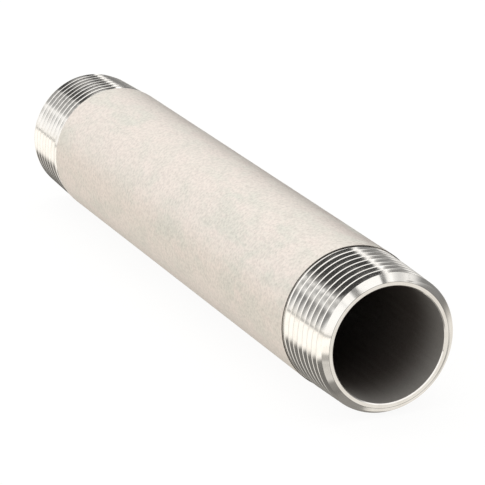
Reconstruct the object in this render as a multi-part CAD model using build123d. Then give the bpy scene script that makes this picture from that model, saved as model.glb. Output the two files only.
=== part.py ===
"""Long threaded pipe nipple: one length of 1 inch schedule 40 stainless pipe, threaded at both ends.

Millimetres. The pipe's axis is X, the origin is on the axis at mid-length, and +Z is up.
The near end is the one at +X. A distance on a thread is measured inwards from its end face.
"""

from build123d import *
from math import atan2, ceil, cos, degrees, radians, tan
import os

MM_PER_INCH = 25.4

# Pipe
overall_length = 177.8
outside_diameter = 33.4
wall_thickness = 3.38

# Taper pipe thread: right hand, 60 degree form, on a cone of 1 in 16 on diameter
threads_per_inch = 11.5
diameter_taper = 1 / 16
thread_angle = 60.0
root_flat_per_pitch = 0.038
crest_flat_per_pitch = 0.18
full_groove_length = 18.0
run_out_angle = 90.0

# Turned ends
skin_cut = 0.25
shoulder_gap = 0.08
shoulder_edge_break = 0.12
chamfer_below_root = 0.18
chamfer_angle = 37.0
bore_edge_break = 0.23

# Where each groove would cross its end face, as an angle from the top, turning with the thread
near_groove_angle = -2.0
far_groove_angle = 20.0

# How far the cutting shape stands over a full crest and outside the end face
cutter_clearance = 0.05

pipe_radius = outside_diameter / 2
bore_radius = pipe_radius - wall_thickness
machined_radius = pipe_radius - skin_cut
pitch = MM_PER_INCH / threads_per_inch
radius_taper = diameter_taper / 2
flank_run = tan(radians(thread_angle / 2))
root_half_width = root_flat_per_pitch * pitch / 2
crest_half_width = crest_flat_per_pitch * pitch / 2

# The taper thread's own rule for its pitch diameter at the end of the pipe, where groove and ridge
# are each half a pitch wide
end_pitch_diameter = outside_diameter - (0.05 * outside_diameter / MM_PER_INCH + 1.1) * pitch
end_crest_radius = end_pitch_diameter / 2 + (pitch / 4 - crest_half_width) / flank_run
end_root_radius = end_pitch_diameter / 2 - (pitch / 4 - root_half_width) / flank_run
thread_depth = end_crest_radius - end_root_radius


def root_radius(distance):
    """Radius of the groove's root at a distance from the end face."""
    return end_root_radius + radius_taper * distance


def machined_length():
    """Distance from the end face to the shoulder, just past the full groove's widest reach."""
    reach = pipe_radius - root_radius(full_groove_length)
    return full_groove_length + root_half_width + reach * flank_run + shoulder_gap


def end_outline():
    """Half outline of one turned end, as distance and radius, from the bore outwards."""
    chamfer_radius = end_root_radius - chamfer_below_root
    chamfer_slope = 1 / tan(radians(chamfer_angle))
    chamfer_length = (end_crest_radius - chamfer_radius) / (chamfer_slope - radius_taper)
    taper_length = (machined_radius - end_crest_radius) / radius_taper
    shoulder = machined_length()
    return [
        (bore_edge_break, bore_radius),
        (0, bore_radius + bore_edge_break),
        (0, chamfer_radius),
        (chamfer_length, end_crest_radius + radius_taper * chamfer_length),
        (taper_length, machined_radius),
        (shoulder, machined_radius),
        (shoulder, pipe_radius - shoulder_edge_break),
        (shoulder + shoulder_edge_break, pipe_radius),
    ]


def blank():
    """The pipe with both ends turned, chamfered and deburred, before the threads are cut."""
    half_length = overall_length / 2
    near = [(half_length - distance, radius) for distance, radius in end_outline()]
    far = [(distance - half_length, radius) for distance, radius in reversed(end_outline())]
    outline = Face(Wire.make_polygon([(x, 0, radius) for x, radius in near + far]))
    return revolve(outline, Axis.X)


def helix(start_radius, length, rise):
    """Conical helix about Z from z = 0, whose radius grows by rise over its length."""
    cone_angle = atan2(rise, length)
    return Edge.make_helix(pitch / cos(cone_angle), length, start_radius, angle=degrees(cone_angle))


def groove_section(root):
    """Corners of the groove's section, opening outwards, as offset along the axis and radius."""
    mouth = root + thread_depth + cutter_clearance
    mouth_half_width = root_half_width + (mouth - root) * flank_run
    return [
        (-mouth_half_width, mouth),
        (-root_half_width, root),
        (root_half_width, root),
        (mouth_half_width, mouth),
    ]


def groove_stretch(start, end, start_root, end_root):
    """Solid of the groove between two distances, with a flat face at each of its two ends."""
    length = end - start
    rise = end_root - start_root
    paths = [Pos(0, 0, offset) * helix(radius, length, rise) for offset, radius in groove_section(start_root)]
    sides = [Face.make_surface_from_curves(a, b) for a, b in zip(paths, paths[1:] + paths[:1])]
    caps = [Face(Wire.make_polygon([path @ tip for path in paths])) for tip in (0, 1)]
    return Pos(0, 0, start) * Rotation(0, 0, 360 * start / pitch) * Solid(Shell(sides + caps))


def groove():
    """One thread's groove about Z, which runs inwards from the end face, as a list of solids.

    Each solid is one turn, so its faces stay simple. The groove crosses the end face's plane on the
    X side, keeps its depth up to full_groove_length, and then rises out of the pipe in its run-out.
    """
    lead_in = groove_section(end_root_radius)[-1][0] + cutter_clearance
    turns = ceil((full_groove_length + lead_in) / pitch)
    stations = [full_groove_length - pitch * count for count in range(turns, -1, -1)]
    roots = [root_radius(station) for station in stations]
    stations.append(full_groove_length + pitch * run_out_angle / 360)
    roots.append(machined_radius + cutter_clearance)
    return [
        groove_stretch(*stations[count:count + 2], *roots[count:count + 2])
        for count in range(len(stations) - 1)
    ]


def end_frame(side):
    """Frame of one end, with Z inwards and X up. side is 1 at the near end and -1 at the far one."""
    return Plane(origin=(side * overall_length / 2, 0, 0), x_dir=(0, 0, 1), z_dir=(-side, 0, 0))


def pipe_nipple():
    """The finished nipple: the turned pipe, less both grooves."""
    cutters = []
    for side, groove_angle in ((1, near_groove_angle), (-1, far_groove_angle)):
        place = end_frame(side).location * Rotation(0, 0, groove_angle)
        cutters += [place * stretch for stretch in groove()]
    return blank() - cutters


os.makedirs("parts", exist_ok=True)
export_step(pipe_nipple(), "parts/pipe_nipple.step")
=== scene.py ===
"""Looks for a long threaded pipe nipple: a stainless pipe with a taper thread cut on each end.

Metres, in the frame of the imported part: the pipe's axis is X, its near end is at +X and +Z is up.
"""

import logging
import math
from dataclasses import dataclass, field
from enum import Enum
from typing import Optional, Union

import bpy
import numpy as np
from mathutils import Matrix, Vector


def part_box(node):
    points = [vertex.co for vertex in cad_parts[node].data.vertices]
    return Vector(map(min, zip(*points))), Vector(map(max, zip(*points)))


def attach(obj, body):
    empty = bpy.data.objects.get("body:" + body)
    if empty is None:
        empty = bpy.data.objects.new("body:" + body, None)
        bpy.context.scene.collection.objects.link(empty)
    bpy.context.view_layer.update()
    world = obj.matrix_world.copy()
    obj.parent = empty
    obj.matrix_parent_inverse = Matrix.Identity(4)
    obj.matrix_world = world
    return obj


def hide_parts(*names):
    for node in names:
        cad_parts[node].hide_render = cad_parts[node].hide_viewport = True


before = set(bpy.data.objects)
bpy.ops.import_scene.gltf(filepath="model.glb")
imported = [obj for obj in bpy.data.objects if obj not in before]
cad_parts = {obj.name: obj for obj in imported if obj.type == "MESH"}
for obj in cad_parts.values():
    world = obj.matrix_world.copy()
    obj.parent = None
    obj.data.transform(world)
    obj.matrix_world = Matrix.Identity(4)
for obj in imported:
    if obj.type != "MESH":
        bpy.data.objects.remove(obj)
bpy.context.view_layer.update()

log = logging.getLogger("pipe_nipple")

MM = 0.001
MM_PER_INCH = 25.4
NODE = "pipe_nipple"
BODY = "root"

Socket = bpy.types.NodeSocket
Value = Union[Socket, float, int, bool, tuple, bpy.types.ID]
Colour = tuple[float, float, float]


class Tree:
    """A node tree, with short ways to add a node and wire it up."""

    def __init__(self, nodes: bpy.types.NodeTree) -> None:
        """Take over an empty node tree.

        Args:
            nodes: The tree to build in.
        """
        self.nodes = nodes
        self.start: Optional[bpy.types.Node] = None
        self.end: Optional[bpy.types.Node] = None

    @classmethod
    def group(
        cls, name: str, kind: str, inputs: dict[str, str], outputs: dict[str, str]
    ) -> "Tree":
        """Make a node group with named sockets.

        Args:
            name: The group's name.
            kind: GeometryNodeTree or ShaderNodeTree.
            inputs: Socket type of each input, by name.
            outputs: Socket type of each output, by name.

        Returns:
            The new tree.
        """
        tree = cls(bpy.data.node_groups.new(name, kind))
        for direction, sockets in (("INPUT", inputs), ("OUTPUT", outputs)):
            for socket, socket_kind in sockets.items():
                tree.nodes.interface.new_socket(
                    socket, in_out=direction, socket_type=socket_kind
                )
        tree.start = tree.nodes.nodes.new("NodeGroupInput")
        tree.end = tree.nodes.nodes.new("NodeGroupOutput")
        return tree

    def given(self, name: str) -> Socket:
        """The group's own input of that name, as a socket to read."""
        return self.start.outputs[name]

    def put_out(self, **values: Socket) -> None:
        """Wire sockets to the group's outputs, by name."""
        for name, socket in values.items():
            self.nodes.links.new(socket, self.end.inputs[name])

    def add(
        self,
        kind: str,
        inputs: Optional[dict[Union[str, int], Value]] = None,
        **settings: object,
    ) -> bpy.types.Node:
        """Add a node.

        Args:
            kind: The node's type.
            inputs: What goes into each input: a socket to link, or a plain value.
            settings: The node's own properties.

        Returns:
            The node.
        """
        node = self.nodes.nodes.new(kind)
        for name, value in settings.items():
            setattr(node, name, value)
        for name, value in (inputs or {}).items():
            socket = self.socket(node.inputs, name)
            if isinstance(value, Socket):
                self.nodes.links.new(value, socket)
            else:
                socket.default_value = value
        return node

    def use(self, group: bpy.types.NodeTree, inputs: dict[str, Value]) -> bpy.types.Node:
        """A node that runs a group with these inputs."""
        kind = "ShaderNodeGroup" if group.type == "SHADER" else "GeometryNodeGroup"
        return self.add(kind, inputs, node_tree=group)

    @staticmethod
    def socket(sockets: bpy.types.bpy_prop_collection, name: Union[str, int]) -> Socket:
        """The socket at a place, or the first one in use that has a name.

        Args:
            sockets: A node's inputs or outputs.
            name: The socket's place or name.

        Returns:
            The socket.
        """
        if isinstance(name, int):
            return sockets[name]
        return next(socket for socket in sockets if socket.name == name and socket.enabled)

    def math(self, operation: str, *values: Value) -> Socket:
        """A Math node's result for one to three values."""
        inputs = dict(enumerate(values))
        return self.add("ShaderNodeMath", inputs, operation=operation).outputs[0]

    def vector_math(self, operation: str, *values: Value) -> Socket:
        """A Vector Math node's vector result for one to three vectors."""
        inputs = dict(enumerate(values))
        return self.add("ShaderNodeVectorMath", inputs, operation=operation).outputs[0]

    def scaled(self, vector: Value, factor: Value) -> Socket:
        """A vector or colour times a number."""
        inputs = {0: vector, "Scale": factor}
        return self.add("ShaderNodeVectorMath", inputs, operation="SCALE").outputs[0]

    def combine(self, x: Value, y: Value, z: Value) -> Socket:
        """A vector made from its three parts."""
        return self.add("ShaderNodeCombineXYZ", {"X": x, "Y": y, "Z": z}).outputs[0]

    def separate(self, vector: Socket) -> tuple[Socket, Socket, Socket]:
        """The three parts of a vector."""
        node = self.add("ShaderNodeSeparateXYZ", {0: vector})
        return node.outputs[0], node.outputs[1], node.outputs[2]

    def radius(self, place: Socket) -> Socket:
        """A place's distance from the X axis."""
        squares = [self.math("MULTIPLY", side, side) for side in self.separate(place)[1:]]
        return self.math("SQRT", self.math("ADD", *squares))

    def ramp(
        self, value: Value, low: float, high: float, to_low: float = 0.0, to_high: float = 1.0
    ) -> Socket:
        """A value eased from one range into another, and held at the ends.

        Args:
            value: The value.
            low: Start of its range.
            high: End of its range.
            to_low: What the start becomes.
            to_high: What the end becomes.

        Returns:
            The eased value.
        """
        inputs = {"Value": value, "From Min": low, "From Max": high}
        inputs.update({"To Min": to_low, "To Max": to_high})
        node = self.add("ShaderNodeMapRange", inputs, interpolation_type="SMOOTHSTEP")
        return node.outputs[0]

    def blend(self, share: Value, first: Value, second: Value, kind: str = "FLOAT") -> Socket:
        """Two numbers, vectors or colours mixed by a share.

        Args:
            share: 0 for the first, 1 for the second.
            first: A number, vector or colour.
            second: Another of the same kind.
            kind: FLOAT, VECTOR or RGBA.

        Returns:
            The mixed socket.
        """
        inputs = {"Factor": share, "A": first, "B": second}
        node = self.add("ShaderNodeMix", inputs, data_type=kind)
        return self.socket(node.outputs, "Result")


# ---------------------------------------------------------------------------------------------
# Sizes
# ---------------------------------------------------------------------------------------------


class End(Enum):
    """Which end of the pipe, and the way it faces along X."""

    NEAR = 1
    FAR = -1


@dataclass
class PipeSizes:
    """Sizes of the pipe and its threads, in millimetres and degrees, as the CAD part has them."""

    length: float
    outside_diameter: float
    wall: float = 3.38
    threads_per_inch: float = 11.5
    thread_angle: float = 60.0
    taper: float = 1 / 32
    root_flat_per_pitch: float = 0.038
    crest_flat_per_pitch: float = 0.18
    full_groove: float = 18.0
    run_out_turn: float = 0.25
    skin_cut: float = 0.25
    shoulder_gap: float = 0.08
    shoulder_edge_break: float = 0.12
    chamfer_below_root: float = 0.18
    chamfer_angle: float = 37.0
    bore_edge_break: float = 0.23
    cutter_clearance: float = 0.05
    groove_angle: dict[End, float] = field(
        default_factory=lambda: {End.NEAR: -2.0, End.FAR: 20.0}
    )

    def __post_init__(self) -> None:
        """Work out the thread's radii from the taper thread's own rule for its pitch diameter."""
        self.radius = self.outside_diameter / 2
        self.bore = self.radius - self.wall
        self.machined = self.radius - self.skin_cut
        self.pitch = MM_PER_INCH / self.threads_per_inch
        self.flank_run = math.tan(math.radians(self.thread_angle / 2))
        self.root_half = self.root_flat_per_pitch * self.pitch / 2
        crest_half = self.crest_flat_per_pitch * self.pitch / 2
        thread_rule = 0.05 * self.outside_diameter / MM_PER_INCH + 1.1
        pitch_radius = self.radius - thread_rule * self.pitch / 2
        self.crest = pitch_radius + (self.pitch / 4 - crest_half) / self.flank_run
        self.root = pitch_radius - (self.pitch / 4 - self.root_half) / self.flank_run

    @property
    def shoulder(self) -> float:
        """Distance from the end face to the shoulder."""
        reach = self.radius - self.root - self.taper * self.full_groove
        return self.full_groove + self.root_half + reach * self.flank_run + self.shoulder_gap

    def end_outline(self) -> list[tuple[float, float]]:
        """Half outline of one turned end.

        Returns:
            Distance from the end face and radius of each corner, from the bore out.
        """
        chamfer_foot = self.root - self.chamfer_below_root
        chamfer_slope = 1 / math.tan(math.radians(self.chamfer_angle))
        chamfer = (self.crest - chamfer_foot) / (chamfer_slope - self.taper)
        return [
            (self.bore_edge_break, self.bore),
            (0, self.bore + self.bore_edge_break),
            (0, chamfer_foot),
            (chamfer, self.crest + self.taper * chamfer),
            ((self.machined - self.crest) / self.taper, self.machined),
            (self.shoulder, self.machined),
            (self.shoulder, self.radius - self.shoulder_edge_break),
            (self.shoulder + self.shoulder_edge_break, self.radius),
        ]

    def outline(self) -> list[tuple[float, float]]:
        """The whole pipe's half outline, as distance from the near face and radius."""
        end = self.end_outline()
        return end + [(self.length - distance, radius) for distance, radius in reversed(end)]

    def groove_section(self) -> list[tuple[float, float]]:
        """The section of the groove's cutter.

        Returns:
            Offset along the axis and height over the root of each corner.
        """
        mouth = self.crest - self.root + self.cutter_clearance
        wide = self.root_half + mouth * self.flank_run
        return [(wide, mouth), (self.root_half, 0), (-self.root_half, 0), (-wide, mouth)]


# ---------------------------------------------------------------------------------------------
# Finishes
# ---------------------------------------------------------------------------------------------


class Effects:
    """The shader groups that the finishes share. Each reads a place on the piece, in metres."""

    SAND = {"Detail": 3.0, "Roughness": 0.6}
    SAND_RANGE = (0.3, 0.7)
    PIT_DENSITY = 0.45
    PIT_RANGE = (0.08, 0.3)
    CLOUD = {"Detail": 4.0, "Roughness": 0.55, "Distortion": 0.4}
    CLOUD_RANGE = (0.35, 0.68)
    RINGS = {"Scale": 1.0, "Detail": 3.0, "Roughness": 0.65}
    RING_RANGE = (0.32, 0.68)

    def __init__(self) -> None:
        """Build each group once."""
        self.grain = self.make_grain()
        self.mottle = self.make_mottle()
        self.turning = self.make_turning()

    @staticmethod
    def begin(name: str, inputs: tuple[str, ...], outputs: tuple[str, ...]) -> Tree:
        """Start a shader group that reads a place and some numbers, and puts out numbers.

        Args:
            name: The group's name.
            inputs: Names of the numbers that go in.
            outputs: Names of the numbers that come out.

        Returns:
            The group's tree.
        """
        number = "NodeSocketFloat"
        read_in = {"Place": "NodeSocketVector", **dict.fromkeys(inputs, number)}
        return Tree.group(name, "ShaderNodeTree", read_in, dict.fromkeys(outputs, number))

    def make_grain(self) -> bpy.types.NodeTree:
        """Fine sandy grain with scattered pits, as acid leaves it on rolled skin.

        Returns:
            The group.
        """
        tree = self.begin("grain", ("Size", "Pits"), ("Height", "Mask"))
        place = tree.given("Place")
        scale = tree.math("DIVIDE", 1.0, tree.given("Size"))
        noise = tree.add("ShaderNodeTexNoise", {"Vector": place, "Scale": scale, **self.SAND})
        sand = noise.outputs["Fac"]
        density = tree.math("MULTIPLY", scale, self.PIT_DENSITY)
        cells = tree.add("ShaderNodeTexVoronoi", {"Vector": place, "Scale": density})
        hole = tree.ramp(cells.outputs["Distance"], *self.PIT_RANGE, 1.0, 0.0)
        pits = tree.math("MULTIPLY", hole, tree.given("Pits"))
        height = tree.math("SUBTRACT", sand, pits)
        tree.put_out(Height=height, Mask=tree.ramp(sand, *self.SAND_RANGE))
        return tree.nodes

    def make_mottle(self) -> bpy.types.NodeTree:
        """Soft cloudy patches, drawn out along the pipe.

        Returns:
            The group.
        """
        tree = self.begin("mottle", ("Size", "Stretch"), ("Mask",))
        along = tree.math("DIVIDE", 1.0, tree.given("Stretch"))
        stretch = tree.combine(along, 1.0, 1.0)
        drawn = tree.vector_math("MULTIPLY", tree.given("Place"), stretch)
        scale = tree.math("DIVIDE", 1.0, tree.given("Size"))
        cloud = tree.add("ShaderNodeTexNoise", {"Vector": drawn, "Scale": scale, **self.CLOUD})
        tree.put_out(Mask=tree.ramp(cloud.outputs["Fac"], *self.CLOUD_RANGE))
        return tree.nodes

    def make_turning(self) -> bpy.types.NodeTree:
        """Rings that a lathe tool leaves about the X axis, on a cylinder, a cone or a flat face.

        Returns:
            The group.
        """
        tree = self.begin("turning", ("Feed", "Chatter"), ("Height", "Mask"))
        place = tree.given("Place")
        x, y, z = tree.separate(place)
        scale = tree.math("DIVIDE", 1.0, tree.given("Feed"))
        ring = tree.scaled(tree.combine(x, tree.radius(place), 0.0), scale)
        around = tree.scaled(tree.combine(0.0, y, z), tree.given("Chatter"))
        lines = tree.add(
            "ShaderNodeTexNoise", {"Vector": tree.vector_math("ADD", ring, around), **self.RINGS}
        ).outputs["Fac"]
        tree.put_out(Height=lines, Mask=tree.ramp(lines, *self.RING_RANGE))
        return tree.nodes


@dataclass(frozen=True)
class Finish:
    """A metal finish: how its colour and gloss vary over a surface."""

    name: str
    colour: Colour
    shade: Colour
    rough_low: float
    rough_high: float
    bump: float
    metal: float = 1.0

    def start(self) -> tuple[bpy.types.Material, Tree, bpy.types.Node, Socket]:
        """An empty metal material.

        Returns:
            The material, its tree, its Principled shader and the place on the piece.
        """
        material = bpy.data.materials.new(self.name)
        material.use_nodes = True
        tree = Tree(material.node_tree)
        tree.nodes.nodes.clear()
        shader = tree.add("ShaderNodeBsdfPrincipled", {"Metallic": self.metal})
        tree.add("ShaderNodeOutputMaterial", {"Surface": shader.outputs[0]})
        return material, tree, shader, tree.add("ShaderNodeTexCoord").outputs["Object"]

    def tint(self, tree: Tree, mask: Socket) -> Socket:
        """The finish's colour, going over to its shade where the mask is full."""
        return tree.blend(mask, (*self.colour, 1.0), (*self.shade, 1.0), "RGBA")

    @staticmethod
    def mottled(
        tree: Tree, effects: Effects, place: Socket, size: float, stretch: float
    ) -> Socket:
        """The mask of the shared patches, at a size and a stretch."""
        inputs = {"Place": place, "Size": size, "Stretch": stretch}
        return tree.use(effects.mottle, inputs).outputs["Mask"]

    def dress(
        self, tree: Tree, shader: bpy.types.Node, colour: Socket, mask: Socket, height: Socket
    ) -> None:
        """Wire a surface's colour, roughness and relief to its shader.

        Args:
            tree: The material's tree.
            shader: Its Principled shader.
            colour: The surface's colour.
            mask: 0 where the surface is glossiest, 1 where it is dullest.
            height: The relief, whose full range is the finish's bump.
        """
        rough = tree.ramp(mask, 0.0, 1.0, self.rough_low, self.rough_high)
        inputs = {"Strength": 1.0, "Distance": self.bump, "Height": height}
        relief = tree.add("ShaderNodeBump", inputs).outputs[0]
        for name, value in (("Base Color", colour), ("Roughness", rough), ("Normal", relief)):
            tree.nodes.links.new(value, shader.inputs[name])


@dataclass(frozen=True)
class PickledSkin(Finish):
    """The barrel: rolled skin, pickled to an even matt cream grey."""

    grain_size: float = 0.0007
    grain_contrast: float = 0.18
    pits: float = 0.35
    pit_heights: tuple[float, float] = (0.1, 0.42)
    pit_shade: float = 0.86
    patch_size: float = 0.0045
    patch_stretch: float = 2.2
    cloud_size: float = 0.018
    cloud_stretch: float = 1.6
    cloud_floor: float = 0.4

    def make(self, effects: Effects) -> bpy.types.Material:
        """Build the material from the shared effects.

        Args:
            effects: The shared shader groups.

        Returns:
            The material.
        """
        material, tree, shader, place = self.start()
        inputs = {"Place": place, "Size": self.grain_size, "Pits": self.pits}
        grain = tree.use(effects.grain, inputs)
        patches = self.mottled(tree, effects, place, self.patch_size, self.patch_stretch)
        cloud = self.mottled(tree, effects, place, self.cloud_size, self.cloud_stretch)
        share = tree.math("MULTIPLY_ADD", cloud, 1 - self.cloud_floor, self.cloud_floor)
        mask = tree.math("MULTIPLY", patches, share)
        speck = tree.ramp(grain.outputs["Height"], *self.pit_heights, self.pit_shade, 1.0)
        contrast = self.grain_contrast
        sand = tree.math("MULTIPLY_ADD", grain.outputs["Mask"], -contrast, 1 + contrast / 2)
        colour = tree.scaled(self.tint(tree, mask), tree.math("MULTIPLY", speck, sand))
        self.dress(tree, shader, colour, mask, grain.outputs["Height"])
        return material


@dataclass(frozen=True)
class TurnedSteel(Finish):
    """The threads, chamfers and end faces: freshly cut steel with the tool's rings on it.

    It has painted shade on the step where the cut meets the pipe's skin at the shoulder, and a thin
    dark line painted along the face's edge.
    """

    feed: float = 0.00009
    chatter: float = 160.0
    coarse_feed: float = 0.00045
    coarse_chatter: float = 640.0
    coarse_share: float = 1.5
    patch_size: float = 0.003
    streak: float = 0.55
    streak_turn: float = 0.25
    # A near-black colour, used as painted shade on the shoulder step and for the thin dark line
    # along the face's edge
    skin: Colour = (0.12, 0.11, 0.1)
    skin_radius: float = 0.01647
    skin_fade: float = 0.00003
    face_edge: float = 0.01434
    edge_width: float = 0.00009
    edge_share: float = 0.5

    def make(self, effects: Effects) -> bpy.types.Material:
        """Build the material from the shared effects.

        Args:
            effects: The shared shader groups.

        Returns:
            The material.
        """
        material, tree, shader, place = self.start()
        fine = tree.use(
            effects.turning, {"Place": place, "Feed": self.feed, "Chatter": self.chatter}
        )
        coarse = tree.use(
            effects.turning,
            {"Place": place, "Feed": self.coarse_feed, "Chatter": self.coarse_chatter},
        )
        patches = self.mottled(tree, effects, place, self.patch_size, 1.0)
        bright = self.tint(tree, tree.math("MULTIPLY", patches, fine.outputs["Mask"]))
        radius = tree.radius(place)
        # Painted shade over the shoulder step and its edge break, above the machined radius
        at_skin = tree.ramp(radius, self.skin_radius, self.skin_radius + self.skin_fade)
        off_edge = tree.math("SUBTRACT", radius, self.face_edge)
        at_edge = tree.ramp(
            tree.math("ABSOLUTE", off_edge),
            self.edge_width / 2, self.edge_width, self.edge_share, 0.0,
        )
        dark = tree.math("MAXIMUM", at_skin, at_edge)
        colour = tree.blend(dark, bright, (*self.skin, 1.0), "RGBA")
        shader.inputs["Anisotropic"].default_value = self.streak
        shader.inputs["Anisotropic Rotation"].default_value = self.streak_turn
        rings = tree.add("ShaderNodeTangent", direction_type="RADIAL", axis="X")
        tree.nodes.links.new(rings.outputs[0], shader.inputs["Tangent"])
        height = tree.math(
            "MULTIPLY_ADD", coarse.outputs["Height"], self.coarse_share, fine.outputs["Height"]
        )
        self.dress(tree, shader, colour, patches, height)
        return material


@dataclass(frozen=True)
class DrawnBore(Finish):
    """The bore: dull grey skin with faint lines drawn along it, and painted shade away from the
    ends.
    """

    grain_size: float = 0.0004
    grain_share: float = 0.12
    pits: float = 0.2
    line_size: float = 0.0011
    line_stretch: float = 30.0
    line_share: float = 0.06
    clean_from: float = 0.073
    clean_to: float = 0.089
    inside_share: float = 0.8

    def make(self, effects: Effects) -> bpy.types.Material:
        """Build the material from the shared effects.

        Args:
            effects: The shared shader groups.

        Returns:
            The material.
        """
        material, tree, shader, place = self.start()
        inputs = {"Place": place, "Size": self.grain_size, "Pits": self.pits}
        grain = tree.use(effects.grain, inputs)
        lines = self.mottled(tree, effects, place, self.line_size, self.line_stretch)
        drawn = tree.math("MULTIPLY", lines, self.line_share)
        uneven = tree.math("MULTIPLY_ADD", grain.outputs["Mask"], self.grain_share, drawn)
        # Painted shade: the colour goes over to the dark shade colour deeper inside the bore, away
        # from the ends
        from_middle = tree.math("ABSOLUTE", tree.separate(place)[0])
        inside = tree.ramp(
            from_middle, self.clean_from, self.clean_to, self.inside_share, 0.0
        )
        mask = tree.math("ADD", uneven, inside)
        self.dress(tree, shader, self.tint(tree, mask), mask, grain.outputs["Height"])
        return material


# ---------------------------------------------------------------------------------------------
# The pipe
# ---------------------------------------------------------------------------------------------


class NippleTrees:
    """The Geometry Nodes trees that turn the pipe and cut its threads."""

    CARRY_INPUTS = {
        "Section": "NodeSocketGeometry",
        "Stations": "NodeSocketInt",
        "Run Out Stations": "NodeSocketInt",
        "Start Angle": "NodeSocketFloat",
        "Angle Step": "NodeSocketFloat",
        "Face": "NodeSocketFloat",
        "Start": "NodeSocketFloat",
        "Advance": "NodeSocketFloat",
        "Lift": "NodeSocketFloat",
        "Taper": "NodeSocketFloat",
        "Run Out Lift": "NodeSocketFloat",
        "Side": "NodeSocketFloat",
        "Capped": "NodeSocketFloat",
    }
    CUT_INPUTS = {
        "Geometry": "NodeSocketGeometry",
        "Groove Section": "NodeSocketObject",
        "Segments": "NodeSocketInt",
        "Groove Turns": "NodeSocketFloat",
        "Run Out Turns": "NodeSocketFloat",
        "Half Length": "NodeSocketFloat",
        "Pitch": "NodeSocketFloat",
        "Taper": "NodeSocketFloat",
        "Root": "NodeSocketFloat",
        "Groove Start": "NodeSocketFloat",
        "Run Out Lift": "NodeSocketFloat",
        "Near Angle": "NodeSocketFloat",
        "Far Angle": "NodeSocketFloat",
        "Barrel Radius": "NodeSocketFloat",
        "Bore Radius": "NodeSocketFloat",
        "Barrel": "NodeSocketMaterial",
        "Machined": "NodeSocketMaterial",
        "Bore": "NodeSocketMaterial",
    }
    OUTPUTS = {"Geometry": "NodeSocketGeometry"}
    SEAM = 1e-6

    def __init__(self) -> None:
        """Build both trees."""
        self.carry = self.make_carry()
        self.cut = self.make_cut()

    def make_carry(self) -> bpy.types.NodeTree:
        """A section carried round the X axis in even steps, moving along it as it goes.

        The section's points give an offset along the axis in X and a radius or height in Z.
        A capped one has each of its ends drawn together to a point.

        Returns:
            The tree.
        """
        tree = Tree.group("carry section", "GeometryNodeTree", self.CARRY_INPUTS, self.OUTPUTS)
        given, math_node = tree.given, tree.math
        capped, stations = given("Capped"), given("Stations")
        size = tree.add(
            "GeometryNodeAttributeDomainSize", {"Geometry": given("Section")}, component="MESH"
        )
        points = size.outputs["Point Count"]
        columns = math_node("ADD", points, 1)
        rows = math_node("MULTIPLY_ADD", capped, 2, stations)
        grid = tree.add("GeometryNodeMeshGrid", {"Vertices X": rows, "Vertices Y": columns})
        index = tree.add("GeometryNodeInputIndex").outputs[0]
        row = math_node("FLOOR", math_node("DIVIDE", math_node("ADD", index, 0.5), columns))
        in_row = math_node("SUBTRACT", index, math_node("MULTIPLY", row, columns))
        column = math_node("MODULO", in_row, points)
        last = math_node("SUBTRACT", stations, 1)
        uncapped_row = math_node("MAXIMUM", math_node("SUBTRACT", row, capped), 0)
        station = math_node("MINIMUM", uncapped_row, last)
        first_row = math_node("LESS_THAN", row, 0.5)
        last_row = math_node("GREATER_THAN", row, math_node("ADD", last, 1.5))
        shut = math_node("MULTIPLY", capped, math_node("ADD", first_row, last_row))
        offset, _, height = tree.separate(self.corner(tree, column, shut))
        distance = math_node("MULTIPLY_ADD", given("Advance"), station, given("Start"))
        run_out = given("Run Out Stations")
        past = math_node("SUBTRACT", station, math_node("SUBTRACT", last, run_out))
        risen = math_node(
            "DIVIDE", math_node("MAXIMUM", past, 0), math_node("MAXIMUM", run_out, 1)
        )
        lift = math_node("MULTIPLY_ADD", distance, given("Taper"), given("Lift"))
        raised = math_node("MULTIPLY_ADD", risen, given("Run Out Lift"), lift)
        radius = math_node("ADD", height, raised)
        angle = math_node("MULTIPLY_ADD", given("Angle Step"), station, given("Start Angle"))
        x = math_node("SUBTRACT", given("Face"), math_node("ADD", distance, offset))
        side = given("Side")
        across = math_node("MULTIPLY", radius, math_node("SINE", angle))
        position = tree.combine(
            math_node("MULTIPLY", side, x),
            math_node("MULTIPLY", side, across),
            math_node("MULTIPLY", radius, math_node("COSINE", angle)),
        )
        moved = tree.add(
            "GeometryNodeSetPosition", {"Geometry": grid.outputs["Mesh"], "Position": position}
        )
        joined = tree.add(
            "GeometryNodeMergeByDistance", {"Geometry": moved.outputs[0], "Distance": self.SEAM}
        )
        tree.put_out(Geometry=joined.outputs[0])
        return tree.nodes

    @staticmethod
    def corner(tree: Tree, column: Socket, shut: Socket) -> Socket:
        """A corner of the carried section.

        Args:
            tree: The tree that has the section as an input.
            column: The corner's number.
            shut: 1 to give the section's middle in its place.

        Returns:
            The corner's place in the section.
        """
        section = tree.given("Section")
        place = tree.add("GeometryNodeInputPosition").outputs[0]
        corner = tree.add(
            "GeometryNodeSampleIndex",
            {"Geometry": section, "Value": place, "Index": tree.math("ROUND", column)},
            data_type="FLOAT_VECTOR",
        )
        middle = tree.add(
            "GeometryNodeAttributeStatistic",
            {"Geometry": section, "Attribute": place},
            data_type="FLOAT_VECTOR",
        )
        mean = tree.socket(middle.outputs, "Mean")
        return tree.blend(shut, corner.outputs[0], mean, "VECTOR")

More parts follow.
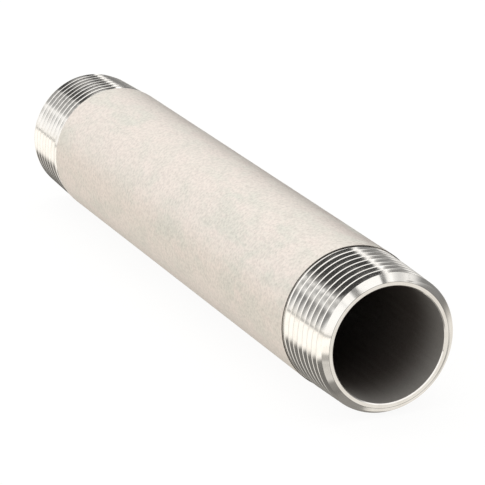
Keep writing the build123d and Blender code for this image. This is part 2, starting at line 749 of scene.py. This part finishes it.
    def make_cut(self) -> bpy.types.NodeTree:
        """The turned pipe less its two grooves, with a finish on each region.

        Returns:
            The tree.
        """
        tree = Tree.group("cut threads", "GeometryNodeTree", self.CUT_INPUTS, self.OUTPUTS)
        given = tree.given
        segments = given("Segments")
        step = tree.math("DIVIDE", math.tau, segments)
        blank = tree.use(self.carry, {
            "Angle Step": step,
            "Face": given("Half Length"),
            "Section": given("Geometry"),
            "Stations": tree.math("ADD", segments, 1),
            "Run Out Stations": 0,
            "Side": 1.0,
            "Capped": 0.0,
        })
        section = tree.add(
            "GeometryNodeObjectInfo",
            {"Object": given("Groove Section")},
            transform_space="ORIGINAL",
        )
        start_turn = tree.math("MULTIPLY", given("Groove Start"), math.tau)
        turned = tree.math("DIVIDE", start_turn, given("Pitch"))
        steps = tree.math("MULTIPLY", given("Groove Turns"), segments)
        groove = {
            "Angle Step": step,
            "Face": given("Half Length"),
            "Section": section.outputs["Geometry"],
            "Stations": tree.math("ADD", steps, 1),
            "Run Out Stations": tree.math("MULTIPLY", given("Run Out Turns"), segments),
            "Start": given("Groove Start"),
            "Advance": tree.math("DIVIDE", given("Pitch"), segments),
            "Lift": given("Root"),
            "Taper": given("Taper"),
            "Run Out Lift": given("Run Out Lift"),
            "Capped": 1.0,
        }
        cut = tree.add("GeometryNodeMeshBoolean", operation="DIFFERENCE", solver="EXACT")
        tree.nodes.links.new(blank.outputs[0], cut.inputs["Mesh 1"])
        for end, angle in ((End.NEAR, "Near Angle"), (End.FAR, "Far Angle")):
            turn = tree.math("ADD", given(angle), turned)
            cutter = tree.use(self.carry, {
                **groove, "Start Angle": turn, "Side": float(end.value),
            })
            tree.nodes.links.new(cutter.outputs[0], cut.inputs["Mesh 2"])
        dressed = tree.add("GeometryNodeRealizeInstances", {"Geometry": cut.outputs[0]})
        radius = tree.radius(tree.add("GeometryNodeInputPosition").outputs[0])
        on_barrel = tree.math("GREATER_THAN", radius, given("Barrel Radius"))
        in_bore = tree.math("LESS_THAN", radius, given("Bore Radius"))
        for finish, where in (("Machined", True), ("Barrel", on_barrel), ("Bore", in_bore)):
            dressed = tree.add("GeometryNodeSetMaterial", {
                "Geometry": dressed.outputs[0], "Selection": where, "Material": given(finish),
            })
        tree.put_out(Geometry=dressed.outputs[0])
        return tree.nodes


def read(
    items: bpy.types.bpy_prop_collection, name: str, width: int = 1, kind: type = float
) -> np.ndarray:
    """One property of every item in a mesh's collection.

    Args:
        items: The mesh's vertices, faces or corners.
        name: The property.
        width: How many numbers it has.
        kind: The numbers' type.

    Returns:
        One number or one row for each item.
    """
    values = np.empty(len(items) * width, dtype=kind)
    items.foreach_get(name, values)
    return values.reshape(-1, width) if width > 1 else values


@dataclass
class Nipple:
    """The whole nipple: one piece that stands for its CAD node.

    A flank's normals lean outwards by lean_root degrees at the root and lean_crest at the crest,
    as on a thread that a worn insert cut.
    """

    sizes: PipeSizes
    segments: int = 360
    region_margin: float = 0.03
    flank_tolerance: float = 0.02
    lean_crest: float = -1.0
    lean_root: float = 4.5
    barrel: PickledSkin = PickledSkin(
        "pickled barrel", (0.79, 0.722, 0.668), (0.715, 0.70, 0.64), 0.42, 0.52, 0.00008
    )
    machined: TurnedSteel = TurnedSteel(
        "turned steel", (0.93, 0.91, 0.875), (0.84, 0.81, 0.76), 0.09, 0.13, 0.0000015
    )
    bore: DrawnBore = DrawnBore(
        "drawn bore", (0.36, 0.345, 0.325), (0.11, 0.09, 0.08), 0.55, 0.65, 0.00001, 0.15
    )

    def build(self) -> bpy.types.Object:
        """Turn the pipe, cut its threads and dress it.

        Returns:
            The finished piece.
        """
        sizes = self.sizes
        effects = Effects()
        section = self.points("groove section", sizes.groove_section())
        piece = self.points("threaded_pipe", sizes.outline())
        turns_in = math.ceil((sizes.full_groove + sizes.pitch) / sizes.pitch)
        out_of_pipe = sizes.machined + sizes.cutter_clearance - sizes.root
        values = {
            "Groove Section": section,
            "Segments": self.segments,
            "Groove Turns": turns_in + sizes.run_out_turn,
            "Run Out Turns": sizes.run_out_turn,
            "Half Length": sizes.length / 2 * MM,
            "Pitch": sizes.pitch * MM,
            "Taper": sizes.taper,
            "Root": sizes.root * MM,
            "Groove Start": (sizes.full_groove - turns_in * sizes.pitch) * MM,
            "Run Out Lift": (out_of_pipe - sizes.taper * sizes.full_groove) * MM,
            "Near Angle": math.radians(sizes.groove_angle[End.NEAR]),
            "Far Angle": math.radians(sizes.groove_angle[End.FAR]),
            "Barrel Radius": (sizes.radius - self.region_margin) * MM,
            "Bore Radius": (sizes.bore + self.region_margin) * MM,
            "Barrel": self.barrel.make(effects),
            "Machined": self.machined.make(effects),
            "Bore": self.bore.make(effects),
        }
        self.run_tree(piece, NippleTrees().cut, values)
        bpy.data.objects.remove(section)
        self.shade(piece.data)
        log.info("%s: %d faces", piece.name, len(piece.data.polygons))
        return piece

    @staticmethod
    def points(name: str, outline: list[tuple[float, float]]) -> bpy.types.Object:
        """An object that holds an outline's points, in metres, with the radius as Z.

        Args:
            name: The object's name.
            outline: Distance along the axis and radius of each point, in millimetres.

        Returns:
            The object.
        """
        mesh = bpy.data.meshes.new(name)
        corners = [(along * MM, 0, radius * MM) for along, radius in outline]
        mesh.from_pydata(corners, [], [])
        thing = bpy.data.objects.new(name, mesh)
        bpy.context.scene.collection.objects.link(thing)
        return thing

    @staticmethod
    def run_tree(
        piece: bpy.types.Object, tree: bpy.types.NodeTree, values: dict[str, Value]
    ) -> None:
        """Replace an object's mesh with what a Geometry Nodes tree makes of it.

        Args:
            piece: The object.
            tree: The tree, whose first input is the object's own mesh.
            values: What the tree's other inputs are, by name.
        """
        modifier = piece.modifiers.new("tree", "NODES")
        modifier.node_group = tree
        for item in tree.interface.items_tree:
            if item.in_out == "INPUT" and item.name in values:
                modifier[item.identifier] = values[item.name]
        piece.update_tag()
        graph = bpy.context.evaluated_depsgraph_get()
        made = bpy.data.meshes.new_from_object(piece.evaluated_get(graph), depsgraph=graph)
        piece.modifiers.remove(modifier)
        piece.data = made
        index = read(made.polygons, "material_index", kind=np.int32)
        used = np.unique(index)
        finishes = [made.materials[number] for number in used]
        made.materials.clear()
        for finish in finishes:
            made.materials.append(finish)
        packed = np.searchsorted(used, index).astype(np.int32)
        made.polygons.foreach_set("material_index", packed)

    def shade(self, mesh: bpy.types.Mesh) -> None:
        """Give each face corner the true surface's normal, which keeps its slant round X.

        Args:
            mesh: The mesh to shade.
        """
        sides = read(mesh.polygons, "loop_total", kind=np.int32)
        face = np.repeat(np.arange(len(sides)), sides)
        normal = read(mesh.polygons, "normal", 3)[face]
        centre = read(mesh.polygons, "center", 3)[face, 1:]
        out = centre / np.linalg.norm(centre, axis=1, keepdims=True)
        points = read(mesh.vertices, "co", 3)
        points = points[read(mesh.loops, "vertex_index", kind=np.int32)]
        radius = np.linalg.norm(points[:, 1:], axis=1)
        spoke = points[:, 1:] / radius[:, None]
        along = normal[:, 0]
        outward = (normal[:, 1:] * out).sum(axis=1)
        around = normal[:, 2] * out[:, 0] - normal[:, 1] * out[:, 1]
        lean = self.lean(points[:, 0] / MM, radius / MM, along)
        raised = outward * np.cos(lean) + along * np.sin(lean)
        made = np.column_stack((
            along * np.cos(lean) - outward * np.sin(lean),
            raised * spoke[:, 0] - around * spoke[:, 1],
            raised * spoke[:, 1] + around * spoke[:, 0],
        ))
        mesh.polygons.foreach_set("use_smooth", np.ones(len(sides), dtype=bool))
        mesh.normals_split_custom_set(made.tolist())
        mesh.update()

    def lean(self, x: np.ndarray, radius: np.ndarray, along: np.ndarray) -> np.ndarray:
        """How far the normals lean towards the outside, which is nothing off the flanks.

        Args:
            x: Each corner's place along the axis, in millimetres.
            radius: Each corner's radius, in millimetres.
            along: How far each corner's own face looks along the axis.

        Returns:
            The lean in radians, with the sign of along.
        """
        sizes = self.sizes
        root = sizes.root + sizes.taper * (sizes.length / 2 - np.abs(x))
        depth = np.clip(1 - (radius - root) / (sizes.crest - sizes.root), 0, 1)
        lean = np.radians(self.lean_crest + depth * (self.lean_root - self.lean_crest))
        flank_along = math.cos(math.radians(sizes.thread_angle / 2))
        on_flank = np.abs(np.abs(along) - flank_along) < self.flank_tolerance
        return np.where(on_flank, lean * np.sign(along), 0)


# ---------------------------------------------------------------------------------------------
# Studio
# ---------------------------------------------------------------------------------------------


@dataclass
class SoftCard:
    """A soft-edged patch of the studio's surroundings, placed by angle as seen from the pipe."""

    azimuth: float
    elevation: float
    half_width: float
    half_height: float
    edge: float
    brightness: float

    def paint(self, tree: Tree, azimuth: Socket, elevation: Socket, under: Value) -> Socket:
        """Lay the patch over what is there.

        Args:
            tree: The world's tree.
            azimuth: The ray's angle from +X towards +Y, in radians.
            elevation: The ray's angle above the floor, in radians.
            under: Brightness without the patch.

        Returns:
            Brightness with it.
        """
        off = tree.math("SUBTRACT", azimuth, math.radians(self.azimuth))
        turn = tree.math("WRAP", off, math.pi, -math.pi)
        tip = tree.math("SUBTRACT", elevation, math.radians(self.elevation))
        edge = math.radians(self.edge)
        masks = []
        for angle, half in ((turn, self.half_width), (tip, self.half_height)):
            limit, away = math.radians(half), tree.math("ABSOLUTE", angle)
            masks.append(tree.ramp(away, limit - edge, limit + edge, 1.0, 0.0))
        return tree.blend(tree.math("MULTIPLY", *masks), under, self.brightness)


@dataclass
class Studio:
    """A pale floor, the soft light round it, and the camera.

    The lamp's sizes and the camera's aim and distance are in pipe radii.
    """

    floor_half: float = 6.0
    floor_drop: float = 0.00002
    floor_colour: Colour = (0.8, 0.78, 0.74)
    floor_glow: float = 1.04
    floor_shading: float = 0.12
    surround: float = 1.1
    upper_tone: Colour = (1.0, 0.992, 0.98)
    lower_tone: Colour = (1.0, 0.965, 0.91)
    horizon: float = 0.1
    cards: tuple[SoftCard, ...] = (
        # Each card is laid over the ones before it
        SoftCard(0, -46, 180, 44, 2, 0.85),
        SoftCard(-160, -20, 40, 16, 6, 0.95),
        SoftCard(140, -10, 34, 24, 10, 0.14),
        SoftCard(170, 31, 30, 17, 9, 1.14),
        SoftCard(90, 10, 26, 20, 8, 0.25),
        SoftCard(0, -65, 75, 33, 6, 0.28),
        SoftCard(-40, -12, 14, 10.5, 2, 1.2),
        SoftCard(-34, -45, 9, 20, 2, 0.18),
        SoftCard(-50, -41, 7, 9, 3, 0.7),
        SoftCard(-50, -24, 6, 4, 2, 0.45),
        SoftCard(-42, -2, 20, 1.0, 0.8, 0.4),
        SoftCard(45, 22, 9, 19, 7, 0.25),
        SoftCard(10, 20, 26, 22.5, 2, 0.05),
        SoftCard(-16, 42, 4, 4, 2, 0.3),
        SoftCard(29, 46, 4, 4, 1, 0.2),
        SoftCard(34, 28, 3, 6.5, 1, 1.3),
        SoftCard(38, 40, 3.5, 5, 1, 1.3),
        SoftCard(-25, 8, 7, 9, 4, 0.22),
        SoftCard(-21, 18, 4, 4, 2, 0.6),
        SoftCard(-25, 25.5, 4.5, 5, 1.5, 0.38),
        SoftCard(-18.5, 30, 4, 4.5, 1.5, 0.28),
        SoftCard(57, 29, 4, 4.5, 2, 0.2),
    )
    lamp_size: float = 40.0
    lamp_height: float = 50.0
    lamp_power: float = 1.0
    azimuth: float = 66.06
    elevation: float = 18.51
    focal_length: float = 223.2
    sensor_width: float = 36.0
    clip: tuple[float, float] = (0.01, 50.0)
    aim_right: float = -1.8878
    aim_up: float = 1.3214
    distance: float = 38.6068

    def lay_floor(self, level: float) -> None:
        """Lay the floor, which looks evenly pale, with a faint shadow where the pipe rests.

        Args:
            level: Height of the pipe's lowest point.
        """
        half, height = self.floor_half, level - self.floor_drop
        corners = [(-half, -half), (half, -half), (half, half), (-half, half)]
        mesh = bpy.data.meshes.new("floor")
        mesh.from_pydata([(x, y, height) for x, y in corners], [], [(0, 1, 2, 3)])
        floor = bpy.data.objects.new("floor", mesh)
        bpy.context.scene.collection.objects.link(floor)
        material = bpy.data.materials.new("pale floor")
        material.use_nodes = True
        tree = Tree(material.node_tree)
        tree.nodes.nodes.clear()
        matt = tree.add("ShaderNodeBsdfDiffuse", {"Color": (*self.floor_colour, 1.0)})
        white = (1.0, 1.0, 1.0, 1.0)
        glow = tree.add("ShaderNodeEmission", {"Color": white, "Strength": self.floor_glow})
        layers = {0: self.floor_shading, 1: glow.outputs[0], 2: matt.outputs[0]}
        seen = tree.add("ShaderNodeMixShader", layers)
        tree.add("ShaderNodeOutputMaterial", {"Surface": seen.outputs[0]})
        floor.visible_glossy = False
        floor.visible_diffuse = False
        mesh.materials.append(material)
        log.info("floor at %.5f", height)

    def light(self) -> None:
        """Soft light from all round, with the cards that the metal mirrors painted into it."""
        world = bpy.data.worlds.new("studio")
        bpy.context.scene.world = world
        world.use_nodes = True
        tree = Tree(world.node_tree)
        tree.nodes.nodes.clear()
        x, y, z = tree.separate(tree.add("ShaderNodeTexCoord").outputs["Generated"])
        azimuth = tree.math("ARCTAN2", y, x)
        elevation = tree.math("ARCSINE", z)
        bright: Value = self.surround
        for card in self.cards:
            bright = card.paint(tree, azimuth, elevation, bright)
        to_camera = tree.add("ShaderNodeLightPath").outputs["Is Camera Ray"]
        shown = tree.blend(to_camera, bright, 1.0)
        upper = tree.ramp(elevation, -self.horizon, self.horizon)
        tone = tree.blend(upper, (*self.lower_tone, 1.0), (*self.upper_tone, 1.0), "RGBA")
        back = tree.add("ShaderNodeBackground", {"Color": tone, "Strength": shown})
        tree.add("ShaderNodeOutputWorld", {"Surface": back.outputs[0]})
        log.info("surround with %d cards", len(self.cards))

    def soft_box(self, radius: float) -> None:
        """One large soft light overhead.

        Args:
            radius: The pipe's radius.
        """
        data = bpy.data.lights.new("overhead", "AREA")
        data.shape = "DISK"
        data.size = self.lamp_size * radius
        data.energy = self.lamp_power
        light = bpy.data.objects.new("overhead", data)
        light.location = (0, 0, self.lamp_height * radius)
        bpy.context.scene.collection.objects.link(light)

    def stand_camera(self, near_face: Vector, radius: float) -> None:
        """Stand the camera off the near end, a little above it.

        Args:
            near_face: Centre of the near end face.
            radius: The pipe's radius.
        """
        turn, tip = math.radians(self.azimuth), math.radians(self.elevation)
        right = Vector((math.cos(turn), math.sin(turn), 0))
        across = math.cos(tip)
        back = Vector((math.sin(turn) * across, -math.cos(turn) * across, math.sin(tip)))
        up = back.cross(right)
        aim = near_face + radius * (self.aim_right * right + self.aim_up * up)
        data = bpy.data.cameras.new("camera")
        data.lens = self.focal_length
        data.sensor_width = self.sensor_width
        data.clip_start, data.clip_end = self.clip
        camera = bpy.data.objects.new("camera", data)
        stand = Matrix.Translation(aim + radius * self.distance * back)
        camera.matrix_world = stand @ Matrix((right, up, back)).transposed().to_4x4()
        bpy.context.scene.collection.objects.link(camera)
        bpy.context.scene.camera = camera


def main() -> None:
    """Build the nipple and the studio, and report each piece."""
    logging.basicConfig(level=logging.INFO, format="%(name)s %(message)s")
    low, high = (Vector(corner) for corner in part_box(NODE))
    length, diameter = high.x - low.x, 2 * high.z
    piece = Nipple(PipeSizes(length / MM, diameter / MM)).build()
    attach(piece, BODY)
    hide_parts(NODE)
    studio = Studio()
    studio.lay_floor(low.z)
    studio.light()
    studio.soft_box(diameter / 2)
    studio.stand_camera(Vector((high.x, 0, 0)), diameter / 2)
    bpy.context.scene.view_settings.view_transform = "Standard"


if __name__ == "__main__":
    main()
